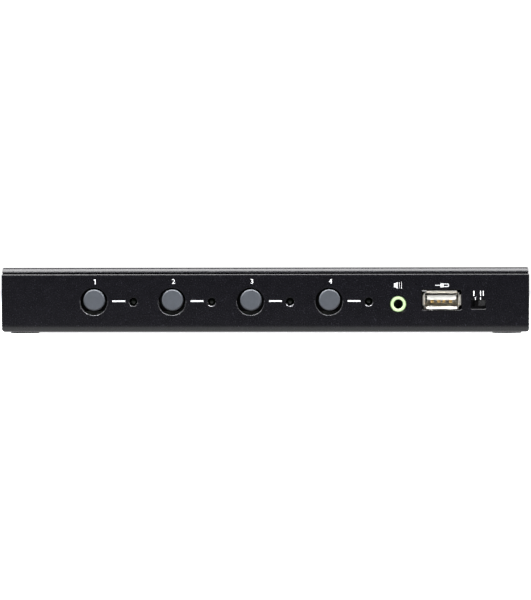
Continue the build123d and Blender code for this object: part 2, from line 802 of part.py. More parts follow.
def make_slide_switch():
    """A two-position slide switch on the board, its knob in the panel's small opening."""
    frame_front = panel_inside + 1.1
    frame_depth = 4.4
    frame_width = 9.2
    frame_height = 5.2
    wall = 0.3
    window_clearance = 0.15
    frame_back = frame_front + frame_depth
    middle_z = board_top + frame_height / 2
    with BuildPart() as slide_switch_frame:
        with BuildSketch(Plane.XZ.offset(-frame_back)):
            with Locations((slide_hole_x, middle_z)):
                Rectangle(frame_width, frame_height)
        extrude(amount=frame_depth)
        fillet(slide_switch_frame.edges().filter_by(Axis.Y), radius=0.4)
        with BuildSketch(Plane.XZ.offset(-frame_back)):
            with Locations((slide_hole_x, middle_z)):
                Rectangle(frame_width - 2 * wall, frame_height - 2 * wall)
        extrude(amount=frame_depth - wall, mode=Mode.SUBTRACT)
        with BuildSketch(Plane.XZ.offset(-frame_front)):
            with Locations((slide_knob_x - slide_travel / 2, slide_knob_z)):
                Rectangle(
                    slide_knob[0] + slide_travel + 2 * window_clearance,
                    slide_knob[1] + 2 * window_clearance,
                )
        extrude(amount=wall, both=True, mode=Mode.SUBTRACT)
    write(slide_switch_frame, "slide_switch_frame")

    # The knob stands on a carrier inside the frame, which pushes a sprung wiper along the base.
    carrier_front = frame_front + wall + 0.1
    carrier_back = carrier_front + 1.2
    carrier = (4.8, 3.8)
    knob_sink = 0.2
    with BuildPart() as slide_switch_knob:
        with BuildSketch(Plane.XZ.offset(-carrier_front)):
            with Locations((slide_knob_x, slide_knob_z)):
                Rectangle(*slide_knob)
        extrude(amount=carrier_front - front_face - knob_sink)
        fillet(slide_switch_knob.edges().group_by(Axis.Y)[0], radius=0.2)
        with BuildSketch(Plane.XZ.offset(-carrier_back)):
            with Locations((slide_knob_x, middle_z)):
                Rectangle(*carrier)
        extrude(amount=carrier_back - carrier_front)
    write(slide_switch_knob, "slide_switch_knob")

    wiper_back = carrier_back + wall
    with BuildPart() as slide_switch_wiper:
        with BuildSketch(Plane.XZ.offset(-wiper_back)):
            with Locations((slide_knob_x, middle_z)):
                Rectangle(3.6, 2.4)
                Rectangle(2.4, 0.8, mode=Mode.SUBTRACT)
        extrude(amount=wiper_back - carrier_back)
    write(slide_switch_wiper, "slide_switch_wiper")

    base_front = wiper_back + 0.1
    base_clearance = 0.05
    with BuildPart() as slide_switch_base:
        with BuildSketch(Plane.XZ.offset(-frame_back)):
            with Locations((slide_hole_x, middle_z)):
                Rectangle(
                    frame_width - 2 * (wall + base_clearance),
                    frame_height - 2 * (wall + base_clearance),
                )
        extrude(amount=frame_back - base_front)
    write(slide_switch_base, "slide_switch_base")


# ---------------------------------------------------------------- rear connectors


def make_power_jack():
    """The round power inlet, its centre pin and the leaf that meets the plug's outside."""
    mouth = rear_plane(power_x, power_z, -power_proud)
    bore_depth = 10.0
    block_front = 2.0
    block_back = 14.5
    block_width = 9.4
    pin_front = 1.2
    pin_root_radius = power_pin_radius - 0.2
    pin_root_length = 2.9
    play = 0.02
    leaf_y = mouth.origin.Y - 6.5
    leaf = (2.6, 5.6)
    leaf_sheet = 0.3
    leaf_height = 2.0
    leaf_clearance = 0.2
    with BuildPart() as power_jack_body:
        with BuildSketch(mouth):
            Circle(power_nose_radius)
        extrude(amount=-block_front)
        fillet(power_jack_body.edges().group_by(Axis.Y)[-1], radius=0.3)
        with BuildSketch(mouth.offset(-block_front)):
            Rectangle(block_width, 2 * (power_z - board_top))
        extrude(amount=block_front - block_back)
        chamfer(power_jack_body.edges().filter_by(Axis.Y).filter_by(GeomType.LINE), length=body_chamfer)
        with BuildSketch(mouth):
            Circle(power_bore_radius)
        extrude(amount=-bore_depth, mode=Mode.SUBTRACT)
        with BuildSketch(mouth):
            Circle(pin_root_radius + play)
        extrude(amount=-bore_depth - pin_root_length - 0.1, mode=Mode.SUBTRACT)
        with BuildSketch(Plane.XY.offset(board_top)):
            with Locations((power_x, leaf_y)):
                Rectangle(leaf[0] + 2 * leaf_clearance, leaf[1] + 2 * leaf_clearance)
        extrude(amount=leaf_height + leaf_sheet + leaf_clearance, mode=Mode.SUBTRACT)
    write(power_jack_body, "power_jack_body")

    with BuildPart() as power_jack_contacts:
        with BuildSketch(mouth.offset(-pin_front)):
            Circle(power_pin_radius)
        extrude(amount=pin_front + play - bore_depth)
        fillet(power_jack_contacts.edges().group_by(Axis.Y)[-1], radius=0.4)
        with BuildSketch(mouth.offset(play - bore_depth)):
            Circle(pin_root_radius)
        extrude(amount=-pin_root_length)
        with BuildSketch(Plane.XY.offset(board_top + leaf_height)):
            with Locations((power_x, leaf_y)):
                Rectangle(*leaf)
        extrude(amount=leaf_sheet)
        with BuildSketch(Plane.XY.offset(board_top)):
            with Locations((power_x, leaf_y - (leaf[1] - leaf_sheet) / 2)):
                Rectangle(leaf[0], leaf_sheet)
        extrude(amount=leaf_height)
    write(power_jack_contacts, "power_jack_contacts")


def video_outline(margin):
    """The corners of a video port's opening, grown by margin: its lower corners are cut off."""
    half_width = video_opening[0] / 2 + margin
    half_height = video_opening[1] / 2 + margin
    return (
        (-half_width, half_height),
        (half_width, half_height),
        (half_width, video_corner_height - half_height),
        (half_width - video_corner_width, -half_height),
        (video_corner_width - half_width, -half_height),
        (-half_width, video_corner_height - half_height),
    )


def make_video_shell(node, mouth):
    """A digital video port's metal shell: flat on top, with its lower corners cut off."""
    leg_top = video_corner_height - video_opening[1] / 2
    leg_bottom = board_top - mouth.origin.Z
    leg_length = 1.5
    with BuildPart() as video_shell:
        with BuildSketch(mouth):
            Polygon(*video_outline(0), align=None)
            offset(amount=video_wall)
            Polygon(*video_outline(0), align=None, mode=Mode.SUBTRACT)
        extrude(amount=-video_depth)
        for depth in (4.0, 9.0):
            with BuildSketch(mouth.offset(-depth)):
                with Locations((0, (leg_top + leg_bottom) / 2)):
                    with GridLocations(video_opening[0] + video_wall, 0, 2, 1):
                        Rectangle(video_wall, leg_top - leg_bottom)
            extrude(amount=-leg_length)
    write(video_shell, node)


def make_video_insulators(mouths):
    """The black block and tongue inside each video port."""
    block_front = 7.6
    tongue_front = 1.3
    with BuildPart() as video_insulators:
        for mouth in mouths:
            with BuildSketch(mouth.offset(-block_front)):
                Polygon(*video_outline(-0.05), align=None)
            extrude(amount=block_front - video_depth)
            with BuildSketch(mouth.offset(-tongue_front)):
                with Locations((0, video_tongue_z)):
                    Rectangle(*video_tongue)
            extrude(amount=tongue_front - block_front)
    write(video_insulators, "video_insulators")


def make_video_contacts(mouths):
    """Ten contacts on top of each tongue and nine below it."""
    contact = (0.45, 0.12)
    contact_pitch = 1.0
    contact_front = 1.8
    contact_length = 5.7
    above = video_tongue_z + video_tongue[1] / 2 + 0.01 + contact[1] / 2
    below = video_tongue_z - video_tongue[1] / 2 - 0.01 - contact[1] / 2
    with BuildPart() as video_contacts:
        for mouth in mouths:
            with BuildSketch(mouth.offset(-contact_front)):
                with Locations((0, above)):
                    with GridLocations(contact_pitch, 0, 10, 1):
                        Rectangle(*contact)
                with Locations((0, below)):
                    with GridLocations(contact_pitch, 0, 9, 1):
                        Rectangle(*contact)
            extrude(amount=-contact_length)
    write(video_contacts, "video_contacts")


def usb_b_outline(margin):
    """The corners of a USB type B opening, grown by margin: its upper corners are cut off."""
    half_width = usb_b_opening[0] / 2 + margin
    half_height = usb_b_opening[1] / 2 + margin
    return (
        (-half_width, -half_height),
        (half_width, -half_height),
        (half_width, half_height - usb_b_corner_height),
        (half_width - usb_b_corner_width, half_height),
        (usb_b_corner_width - half_width, half_height),
        (-half_width, half_height - usb_b_corner_height),
    )


def make_usb_b_shell(node, mouth):
    """The square metal shell of a USB type B port, with a rim turned in round its opening."""
    with BuildPart() as usb_b_shell:
        with BuildSketch(mouth):
            RectangleRounded(*usb_b_outer, 0.5)
        extrude(amount=-usb_b_depth)
        with BuildSketch(mouth.offset(-usb_b_wall)):
            Rectangle(usb_b_outer[0] - 2 * usb_b_wall, usb_b_outer[1] - 2 * usb_b_wall)
        extrude(amount=usb_b_wall - usb_b_depth, mode=Mode.SUBTRACT)
        with BuildSketch(mouth):
            Polygon(*usb_b_outline(0.1), align=None)
        extrude(amount=-usb_b_wall, mode=Mode.SUBTRACT)
    write(usb_b_shell, node)


def make_usb_b_insulators(mouths):
    """The plastic block of each USB type B port, with a square tongue in its socket."""
    play = 0.05
    block_front = usb_b_wall + 0.02
    socket_depth = 9.6
    tongue_front = 1.0
    block = (usb_b_outer[0] - 2 * (usb_b_wall + play), usb_b_outer[1] - 2 * (usb_b_wall + play))
    with BuildPart() as computer_usb_insulators:
        for mouth in mouths:
            with BuildSketch(mouth.offset(-block_front)):
                Rectangle(*block)
            extrude(amount=block_front + 0.1 - usb_b_depth)
            with BuildSketch(mouth):
                Polygon(*usb_b_outline(0), align=None)
            extrude(amount=-socket_depth, mode=Mode.SUBTRACT)
            with BuildSketch(mouth.offset(-tongue_front)):
                Rectangle(*usb_b_tongue)
            extrude(amount=tongue_front - socket_depth - 0.1)
    write(computer_usb_insulators, "computer_usb_insulators")


def make_usb_b_contacts(mouths):
    """Two contacts above and two below the tongue of each USB type B port."""
    contact = (1.2, 0.15)
    contact_pitch = 2.5
    contact_front = 1.6
    contact_length = 7.8
    rows_apart = usb_b_tongue[1] + contact[1] + 0.04
    with BuildPart() as computer_usb_contacts:
        for mouth in mouths:
            with BuildSketch(mouth.offset(-contact_front)):
                with GridLocations(contact_pitch, rows_apart, 2, 2):
                    Rectangle(*contact)
            extrude(amount=-contact_length)
    write(computer_usb_contacts, "computer_usb_contacts")


# ---------------------------------------------------------------- the whole switch

make_base_chassis()
make_top_cover()
make_cover_screws()
make_feet()
make_main_board()
make_board_standoffs()
make_board_screws()
make_board_chips()
for number, x in enumerate(button_x, start=1):
    make_push_button(number, x)
    make_led(number, x)
make_led_holders()
make_audio_jack()

front_usb = front_plane(usb_a_x, usb_a_z, -usb_a_proud)
make_usb_a_shell("front_usb_shell", front_usb, flared=True)
make_usb_a_insulators("front_usb_insulator", [front_usb])
make_usb_a_contacts("front_usb_contacts", [front_usb])
make_slide_switch()

make_power_jack()
console_usb = [rear_plane(x, usb_a_z, -rear_proud) for x in console_usb_x]
for number, mouth in enumerate(console_usb, start=1):
    make_usb_a_shell(f"console_usb_shell_{number}", mouth, flared=False)
make_usb_a_insulators("console_usb_insulators", console_usb)
make_usb_a_contacts("console_usb_contacts", console_usb)

console_video = rear_plane(console_video_x, video_z, -rear_proud)
computer_video = [rear_plane(x, video_z, -rear_proud) for x in computer_video_x]
make_video_shell("console_video_shell", console_video)
for number, mouth in enumerate(computer_video, start=1):
    make_video_shell(f"computer_video_shell_{number}", mouth)
make_video_insulators([console_video, *computer_video])
make_video_contacts([console_video, *computer_video])

computer_usb = [rear_plane(x, usb_b_z, -rear_proud) for x in computer_usb_x]
for number, mouth in enumerate(computer_usb, start=1):
    make_usb_b_shell(f"computer_usb_shell_{number}", mouth)
make_usb_b_insulators(computer_usb)
make_usb_b_contacts(computer_usb)
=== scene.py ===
import json
import math

import bmesh
import bpy
from mathutils import Matrix, Vector


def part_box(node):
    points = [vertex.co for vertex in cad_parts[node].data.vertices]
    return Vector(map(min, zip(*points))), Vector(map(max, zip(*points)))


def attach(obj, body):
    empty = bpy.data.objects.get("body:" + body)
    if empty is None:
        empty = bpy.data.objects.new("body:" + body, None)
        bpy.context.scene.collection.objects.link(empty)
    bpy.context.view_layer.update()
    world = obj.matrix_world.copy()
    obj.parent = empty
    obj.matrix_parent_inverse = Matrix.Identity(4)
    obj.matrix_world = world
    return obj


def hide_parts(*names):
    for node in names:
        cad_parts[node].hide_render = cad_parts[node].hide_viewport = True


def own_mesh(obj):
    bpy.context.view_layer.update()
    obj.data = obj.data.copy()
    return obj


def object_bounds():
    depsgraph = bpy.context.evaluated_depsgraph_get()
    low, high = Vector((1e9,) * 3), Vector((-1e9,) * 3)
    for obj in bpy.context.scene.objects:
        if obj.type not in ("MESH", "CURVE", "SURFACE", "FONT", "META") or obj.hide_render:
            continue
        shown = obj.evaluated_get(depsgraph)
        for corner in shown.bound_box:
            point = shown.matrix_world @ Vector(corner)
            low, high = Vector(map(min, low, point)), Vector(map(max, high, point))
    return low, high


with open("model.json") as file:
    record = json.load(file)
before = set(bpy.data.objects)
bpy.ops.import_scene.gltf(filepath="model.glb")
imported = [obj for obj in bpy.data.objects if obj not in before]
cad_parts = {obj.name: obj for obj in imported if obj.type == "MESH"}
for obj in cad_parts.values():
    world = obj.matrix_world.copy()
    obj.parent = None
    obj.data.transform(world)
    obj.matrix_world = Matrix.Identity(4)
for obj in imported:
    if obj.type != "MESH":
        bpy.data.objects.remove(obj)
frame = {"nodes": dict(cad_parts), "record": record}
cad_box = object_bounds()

MM = 0.001

# The case's main faces, from the frame
case_low, case_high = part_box("base_chassis")
FRONT_Y = case_low.y
REAR_Y = case_high.y
case_width = case_high.x - case_low.x
case_depth = case_high.y - case_low.y
BUTTON_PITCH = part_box("led_2")[0].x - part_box("led_1")[0].x

# Round openings: the button's from its cap's centre, and the LED's from the button's opening
BUTTON_HOLE_RADIUS = 5.15 * MM
BUTTON_HOLE_SHIFT = Vector((-0.2, 0, -0.55)) * MM
LED_HOLE_RADIUS = 1.55 * MM
LED_HOLE_SHIFT = Vector((15.03, 0, -0.15)) * MM

PRINT_THICKNESS = 0.012 * MM
FLOOR_SIZE = 3.0
WHITE = (0.82, 0.82, 0.83)


def middle(node):
    """The centre of a CAD node's box."""
    low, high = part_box(node)
    return (low + high) / 2


# ------------------------------------------------------------------ shader helpers


class Shader:
    """A material with a Principled shader, and short calls for the nodes that feed it."""

    def __init__(self, name, colour, roughness, metallic=0.0, **sockets):
        self.material = bpy.data.materials.new(name)
        self.material.use_nodes = True
        self.nodes = self.material.node_tree.nodes
        self.links = self.material.node_tree.links
        self.main = self.nodes["Principled BSDF"]
        self.main.inputs["Base Color"].default_value = (*colour, 1)
        self.main.inputs["Roughness"].default_value = roughness
        self.main.inputs["Metallic"].default_value = metallic
        for socket, value in sockets.items():
            self.main.inputs[socket.replace("_", " ")].default_value = value
        self.place = self.nodes.new("ShaderNodeTexCoord").outputs["Object"]

    def scaled(self, x, y, z):
        """Object coordinates scaled along each axis."""
        mapping = self.nodes.new("ShaderNodeMapping")
        mapping.inputs["Scale"].default_value = (x, y, z)
        self.links.new(self.place, mapping.inputs["Vector"])
        return mapping.outputs["Vector"]

    def noise(self, size_mm, detail=3.0, vector=None):
        """Noise with features of about size_mm."""
        node = self.nodes.new("ShaderNodeTexNoise")
        node.inputs["Scale"].default_value = 1 / (size_mm * MM)
        node.inputs["Detail"].default_value = detail
        self.links.new(vector or self.place, node.inputs["Vector"])
        return node.outputs["Fac"]

    def cells(self, size_mm):
        """The distance to the nearest point of scattered cells of about size_mm."""
        node = self.nodes.new("ShaderNodeTexVoronoi")
        node.inputs["Scale"].default_value = 1 / (size_mm * MM)
        self.links.new(self.place, node.inputs["Vector"])
        return node.outputs["Distance"]

    def spread(self, value, low, high, to_low=0.0, to_high=1.0):
        """Maps low..high of a value to to_low..to_high, clamped."""
        node = self.nodes.new("ShaderNodeMapRange")
        limits = {"From Min": low, "From Max": high, "To Min": to_low, "To Max": to_high}
        for socket, number in limits.items():
            node.inputs[socket].default_value = number
        self.links.new(value, node.inputs["Value"])
        return node.outputs["Result"]

    def mix(self, factor, first, second):
        """Mixes two colours, each a tuple or a socket."""
        node = self.nodes.new("ShaderNodeMix")
        node.data_type = "RGBA"
        self.links.new(factor, node.inputs["Factor"])
        # The node has a set of sockets for each type: 6, 7 and 2 are those for colours.
        for socket, colour in ((node.inputs[6], first), (node.inputs[7], second)):
            if isinstance(colour, tuple):
                socket.default_value = (*colour, 1)
            else:
                self.links.new(colour, socket)
        return node.outputs[2]

    def maths(self, operation, *values):
        """One step of arithmetic on values, each a number or a socket."""
        node = self.nodes.new("ShaderNodeMath")
        node.operation = operation
        for socket, value in zip(node.inputs, values):
            if isinstance(value, (int, float)):
                socket.default_value = value
            else:
                self.links.new(value, socket)
        return node.outputs[0]

    def product(self, first, second):
        """Multiplies two values."""
        return self.maths("MULTIPLY", first, second)

    def parts(self, vector):
        """The x, y and z of a vector."""
        node = self.nodes.new("ShaderNodeSeparateXYZ")
        self.links.new(vector, node.inputs[0])
        return node.outputs

    def vector_step(self, operation, first, second=None):
        """One step of vector arithmetic on a socket; second is a tuple."""
        node = self.nodes.new("ShaderNodeVectorMath")
        node.operation = operation
        self.links.new(first, node.inputs[0])
        if second is not None:
            node.inputs[1].default_value = second
        return node.outputs["Vector"]

    def bump(self, height, depth_mm, under=None):
        """A bump of depth_mm; under is a bump beneath it."""
        node = self.nodes.new("ShaderNodeBump")
        node.inputs["Distance"].default_value = depth_mm * MM
        self.links.new(height, node.inputs["Height"])
        if under is not None:
            self.links.new(under, node.inputs["Normal"])
        return node.outputs["Normal"]

    def feed(self, socket, value):
        """Connects a value to the main shader."""
        self.links.new(value, self.main.inputs[socket])


# ------------------------------------------------------------------ materials


def punched_edges(s, first, radius):
    """A painted highlight: light bare metal on the lower edges of a row of round openings, one for each
    button, where light from above glints on the edge rounding.
    """
    row_start = (first.x - BUTTON_PITCH / 2, 0, first.z)
    x, _, z = s.parts(s.vector_step("SUBTRACT", s.place, row_start))
    across = s.maths("SUBTRACT", s.maths("MODULO", x, BUTTON_PITCH), BUTTON_PITCH / 2)
    distance = s.maths("SQRT", s.maths("ADD", s.product(across, across), s.product(z, z)))
    inner = s.spread(distance, radius - 0.04 * MM, radius + 0.02 * MM)
    outer = s.spread(distance, radius + 0.12 * MM, radius + 0.22 * MM, 1.0, 0.0)
    before_jack = s.spread(x, 4 * BUTTON_PITCH, 4 * BUTTON_PITCH + 0.1 * MM, 1.0, 0.0)
    # Only the lower half, where the light from above falls on the edge rounding: a painted highlight.
    lit_lower_half = s.spread(z, -0.1 * radius, 0.1 * radius, 1.0, 0.0)
    return s.product(s.product(inner, outer), s.product(before_jack, lit_lower_half))


def powder_coat():
    """Fine-textured black powder coat with faint flakes, and a painted highlight of bare metal on the
    lower edges of the front's punched openings.
    """
    s = Shader("powder_coat", (0.0038, 0.0036, 0.0056), 0.25, Specular_IOR_Level=0.42)
    flakes = s.spread(s.cells(0.62), 0.10, 0.22, 1.0, 0.0)
    sparse = s.spread(s.noise(0.9, 1.0), 0.56, 0.64)
    mottle = s.spread(s.noise(2.4, 2.0), 0.35, 0.7)
    ground = s.mix(mottle, (0.0030, 0.0029, 0.0046), (0.0046, 0.0044, 0.0066))
    coat = s.mix(s.product(flakes, sparse), ground, (0.05, 0.05, 0.065))
    # Painted highlight: a band of light bare metal on the lower edges of the button and LED openings,
    # broken up along the LED openings.
    button_hole = middle("button_cap_1") + BUTTON_HOLE_SHIFT
    led_hole = button_hole + LED_HOLE_SHIFT
    broken = s.spread(s.noise(1.1, 1.0), 0.47, 0.55)
    led_edge_highlight = s.product(punched_edges(s, led_hole, LED_HOLE_RADIUS), broken)
    highlight_band = s.maths("MAXIMUM", punched_edges(s, button_hole, BUTTON_HOLE_RADIUS), led_edge_highlight)
    # Light metallic grey where the painted highlight band lies.
    s.feed("Base Color", s.mix(highlight_band, coat, (0.42, 0.42, 0.44)))
    s.feed("Metallic", highlight_band)
    s.feed("Roughness", s.spread(s.noise(0.5, 2.0), 0.3, 0.7, 0.21, 0.29))
    peel = s.bump(s.noise(0.75, 2.0), 0.035)
    s.feed("Normal", s.bump(s.noise(0.22, 2.0), 0.008, under=peel))
    return s.material


def jack_plastic():
    """A lime collar with a deeper green outline in the panel, on a black body behind it."""
    s = Shader("jack_plastic", (0.50, 0.70, 0.37), 0.3)
    axis = middle("audio_jack_body")
    across, depth, up = s.parts(s.vector_step("SUBTRACT", s.place, (axis.x, FRONT_Y, axis.z)))
    distance = s.maths("SQRT", s.maths("ADD", s.product(across, across), s.product(up, up)))
    outline = s.spread(distance, 2.74 * MM, 2.86 * MM)
    behind = s.spread(depth, 0.6 * MM, 1.4 * MM)
    lime = s.mix(s.spread(s.noise(1.6, 3.0), 0.3, 0.7), (0.48, 0.67, 0.35), (0.53, 0.73, 0.39))
    collar = s.mix(outline, lime, (0.09, 0.15, 0.05))
    s.feed("Base Color", s.mix(behind, collar, (0.012, 0.013, 0.012)))
    s.feed("Roughness", s.spread(s.noise(0.6, 2.0), 0.3, 0.7, 0.25, 0.35))
    s.feed("Normal", s.bump(s.noise(0.12, 2.0), 0.003))
    return s.material


def moulded(name, colour, roughness, grain_mm=0.12, depth_mm=0.003, variation=0.12, **sockets):
    """Moulded plastic or rubber: slight colour and gloss variation over a fine spark-eroded grain."""
    s = Shader(name, colour, roughness, **sockets)
    darker = tuple(c * (1 - variation) for c in colour)
    lighter = tuple(min(1.0, c * (1 + variation)) for c in colour)
    s.feed("Base Color", s.mix(s.spread(s.noise(1.6, 3.0), 0.3, 0.7), darker, lighter))
    s.feed("Roughness", s.spread(s.noise(0.6, 2.0), 0.3, 0.7, roughness - 0.05, roughness + 0.05))
    s.feed("Normal", s.bump(s.noise(grain_mm, 2.0), depth_mm))
    return s.material


def rolled_metal(name, colour, roughness, grain=(900, 9000, 9000), depth_mm=0.002):
    """Sheet or turned metal with fine directional grain and slight tarnish."""
    s = Shader(name, colour, roughness, metallic=1.0)
    dull = tuple(c * 0.82 for c in colour)
    s.feed("Base Color", s.mix(s.spread(s.noise(1.1, 3.0), 0.35, 0.75), colour, dull))
    lines = s.noise(1000, 2.0, vector=s.scaled(*grain))
    s.feed("Roughness", s.spread(lines, 0.3, 0.7, roughness - 0.07, roughness + 0.09))
    s.feed("Normal", s.bump(lines, depth_mm))
    return s.material


def circuit_board():
    """Black solder mask over faint copper tracks, near-black as painted shade, so the board stays as
    dark as the shade seen through the front openings.
    """
    s = Shader("circuit_board", (0.008, 0.010, 0.009), 0.35)
    tracks = s.spread(s.noise(1000, 0.0, vector=s.scaled(180, 900, 1)), 0.49, 0.51)
    s.feed("Base Color", s.mix(tracks, (0.006, 0.008, 0.007), (0.014, 0.017, 0.015)))
    s.feed("Normal", s.bump(tracks, 0.02))
    return s.material


def led_lens():
    """Green-tinted epoxy, nearly black when unlit."""
    s = Shader("led_green", (0.004, 0.008, 0.004), 0.12, IOR=1.52)
    s.feed("Base Color", s.mix(s.noise(1.5, 1.0), (0.003, 0.006, 0.003), (0.006, 0.011, 0.006)))
    s.feed("Normal", s.bump(s.noise(0.8, 1.0), 0.002))
    return s.material


def print_ink():
    """White screen-printed ink with slightly uneven cover."""
    s = Shader("print_ink", (0.85, 0.86, 0.88), 0.5)
    s.feed("Base Color", s.mix(s.noise(0.35, 2.0), (0.78, 0.79, 0.81), (0.92, 0.93, 0.95)))
    s.feed("Normal", s.bump(s.noise(0.4, 2.0), 0.006))
    return s.material


MATERIALS = {
    "powder_coat": powder_coat(),
    "black_zinc": rolled_metal("black_zinc", (0.045, 0.045, 0.05), 0.35),
    "foot_rubber": moulded(
        "foot_rubber", (0.007, 0.007, 0.007), 0.8, grain_mm=0.3, depth_mm=0.02, Specular_IOR_Level=0.2
    ),
    "circuit_board": circuit_board(),
    "plated_steel": rolled_metal("plated_steel", (0.6, 0.59, 0.56), 0.28),
    "moulded_black": moulded("moulded_black", (0.012, 0.012, 0.013), 0.45),
    "cap_plastic": moulded(
        "cap_plastic", (0.067, 0.074, 0.087), 0.42, grain_mm=0.16, depth_mm=0.004, variation=0.06
    ),
    "white_plastic": moulded("white_plastic", (0.86, 0.85, 0.81), 0.4, variation=0.04),
    "spring_steel": rolled_metal("spring_steel", (0.5, 0.5, 0.5), 0.25),
    "led_green": led_lens(),
    "jack_plastic": jack_plastic(),
    "tinned_shell": rolled_metal("tinned_shell", (0.88, 0.86, 0.81), 0.36, depth_mm=0.0004),
    "gold_plate": rolled_metal("gold_plate", (0.83, 0.58, 0.24), 0.22),
}
INK = print_ink()

for part in frame["record"]["subparts"]:
    slots = frame["nodes"][part["node"]].data.materials
    for index in range(len(slots)):
        slots[index] = MATERIALS[part["material_slot"]]


# ------------------------------------------------------------------ new pieces


def add_piece(name, mesh, material, body="case"):
    """Puts a mesh in the scene as a piece that rides on a body."""
    piece = bpy.data.objects.new(name, mesh)
    bpy.context.scene.collection.objects.link(piece)
    mesh.materials.clear()
    mesh.materials.append(material)
    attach(piece, body)
    return piece


def printed(name, outlines, facing):
    """Thin ink shapes on a panel; outlines hold points across and up in millimetres."""
    face_y = FRONT_Y if facing < 0 else REAR_Y
    over_y = face_y + facing * PRINT_THICKNESS
    shape = bmesh.new()
    for outline in outlines:
        under = [shape.verts.new((x * MM, face_y, z * MM)) for x, z in outline]
        over = [shape.verts.new((x * MM, over_y, z * MM)) for x, z in outline]
        shape.faces.new(under)
        shape.faces.new(over)
        for i in range(len(outline)):
            shape.faces.new((under[i - 1], under[i], over[i], over[i - 1]))
    bmesh.ops.recalc_face_normals(shape, faces=shape.faces[:])
    mesh = bpy.data.meshes.new(name)
    shape.to_mesh(mesh)
    shape.free()
    return add_piece(name, mesh, INK)


def bar(x, z, width, height):
    """A rectangle outline about its centre."""
    left, right = x - width / 2, x + width / 2
    bottom, top = z - height / 2, z + height / 2
    return [(left, bottom), (right, bottom), (right, top), (left, top)]


def arc_band(x, z, radius, thickness, start, end, steps=10):
    """A curved band about a centre, between two angles in degrees."""
    angles = [math.radians(start + (end - start) * i / steps) for i in range(steps + 1)]
    far = radius + thickness
    outer = [(x + far * math.cos(a), z + far * math.sin(a)) for a in angles]
    inner = [(x + radius * math.cos(a), z + radius * math.sin(a)) for a in reversed(angles)]
    return outer + inner


def number_mark(name, text, x, z, height, facing=-1):
    """A printed number, taken from the built-in font and made bolder."""
    digit_height = 0.72
    boldness = 0.02
    curve = bpy.data.curves.new(name, "FONT")
    curve.body = text
    curve.align_x = "CENTER"
    curve.align_y = "CENTER"
    curve.size = height / digit_height * MM
    curve.offset = boldness * height * MM
    curve.extrude = PRINT_THICKNESS / 2
    holder = bpy.data.objects.new(name + "_text", curve)
    bpy.context.scene.collection.objects.link(holder)
    bpy.context.view_layer.update()
    evaluated = holder.evaluated_get(bpy.context.evaluated_depsgraph_get())
    mesh = bpy.data.meshes.new_from_object(evaluated)
    bpy.data.objects.remove(holder)
    upright = Matrix.Rotation(math.radians(90), 4, "X")
    if facing > 0:
        upright = Matrix.Rotation(math.radians(180), 4, "Z") @ upright
    face_y = FRONT_Y if facing < 0 else REAR_Y
    place = Vector((x * MM, face_y + facing * PRINT_THICKNESS / 2, z * MM))
    mesh.transform(Matrix.Translation(place) @ upright)
    mesh.name = name
    return add_piece(name, mesh, INK)


def figure_one(x, z, height):
    """The outline of a bold figure one: a stem with a flag at its top left."""
    right, left, flag = x + 0.15 * height, x - 0.04 * height, x - 0.24 * height
    top, bottom = z + height / 2, z - height / 2
    return [
        (left, bottom),
        (right, bottom),
        (right, top),
        (x, top),
        (flag, top - 0.14 * height),
        (flag, top - 0.28 * height),
        (left, top - 0.22 * height),
    ]


WIRE_RADIUS = 0.175 * MM
COIL_RADIUS = 1.75 * MM
COIL_TURNS = 6.5
COIL_END_GAP = 0.03 * MM


def spring_coil(name, low, high):
    """A coil of wire from front to back, inside a sleeve with the given box."""
    steps_per_turn = 24
    sides = 8
    steps = round(COIL_TURNS * steps_per_turn)
    sleeve = (low + high) / 2
    front_y = low.y + WIRE_RADIUS + COIL_END_GAP
    rear_y = high.y - WIRE_RADIUS - COIL_END_GAP
    shape = bmesh.new()
    rings = []
    for i in range(steps + 1):
        turn = 2 * math.pi * i / steps_per_turn
        outwards = Vector((math.cos(turn), 0, math.sin(turn)))
        on_axis = Vector((sleeve.x, front_y + (rear_y - front_y) * i / steps, sleeve.z))
        centre = on_axis + outwards * COIL_RADIUS
        ring = []
        for k in range(sides):
            angle = 2 * math.pi * k / sides
            offset = outwards * math.cos(angle) + Vector((0, math.sin(angle), 0))
            ring.append(shape.verts.new(centre + offset * WIRE_RADIUS))
        rings.append(ring)
    for first, second in zip(rings, rings[1:]):
        for k in range(sides):
            shape.faces.new((first[k - 1], first[k], second[k], second[k - 1]))
    shape.faces.new(rings[0])
    shape.faces.new(rings[-1])
    bmesh.ops.recalc_face_normals(shape, faces=shape.faces[:])
    for face in shape.faces:
        face.smooth = True
    mesh = bpy.data.meshes.new(name)
    shape.to_mesh(mesh)
    shape.free()
    return add_piece(name, mesh, MATERIALS["spring_steel"])


# Wound return springs in place of the plain sleeves
for number in range(1, 5):
    sleeve_low, sleeve_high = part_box(f"switch_spring_{number}")
    coil = spring_coil(f"return_spring_{number}", sleeve_low, sleeve_high)
    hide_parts(f"switch_spring_{number}")
    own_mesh(coil)

# Front marks: numbers over the buttons and a dash from each button to its LED
NUMBER_Z = 19.68
NUMBER_HEIGHT = 1.85
ONE_SHIFT = 0.3
NUMBER_SHIFT = 0.4
DASH_Z = 12.3
DASH_BEFORE_LED = 5.52
DASH_LENGTH = 4.9
DASH_THICKNESS = 0.58
for number in range(1, 5):
    cap = middle(f"button_cap_{number}") / MM
    led = middle(f"led_{number}") / MM
    if number == 1:
        printed("number_1", [figure_one(cap.x + ONE_SHIFT, NUMBER_Z, NUMBER_HEIGHT)], -1)
    else:
        number_mark(f"number_{number}", str(number), cap.x + NUMBER_SHIFT, NUMBER_Z, NUMBER_HEIGHT)
    dash = bar(led.x - DASH_BEFORE_LED, DASH_Z, DASH_LENGTH, DASH_THICKNESS)
    printed(f"dash_{number}", [dash], -1)

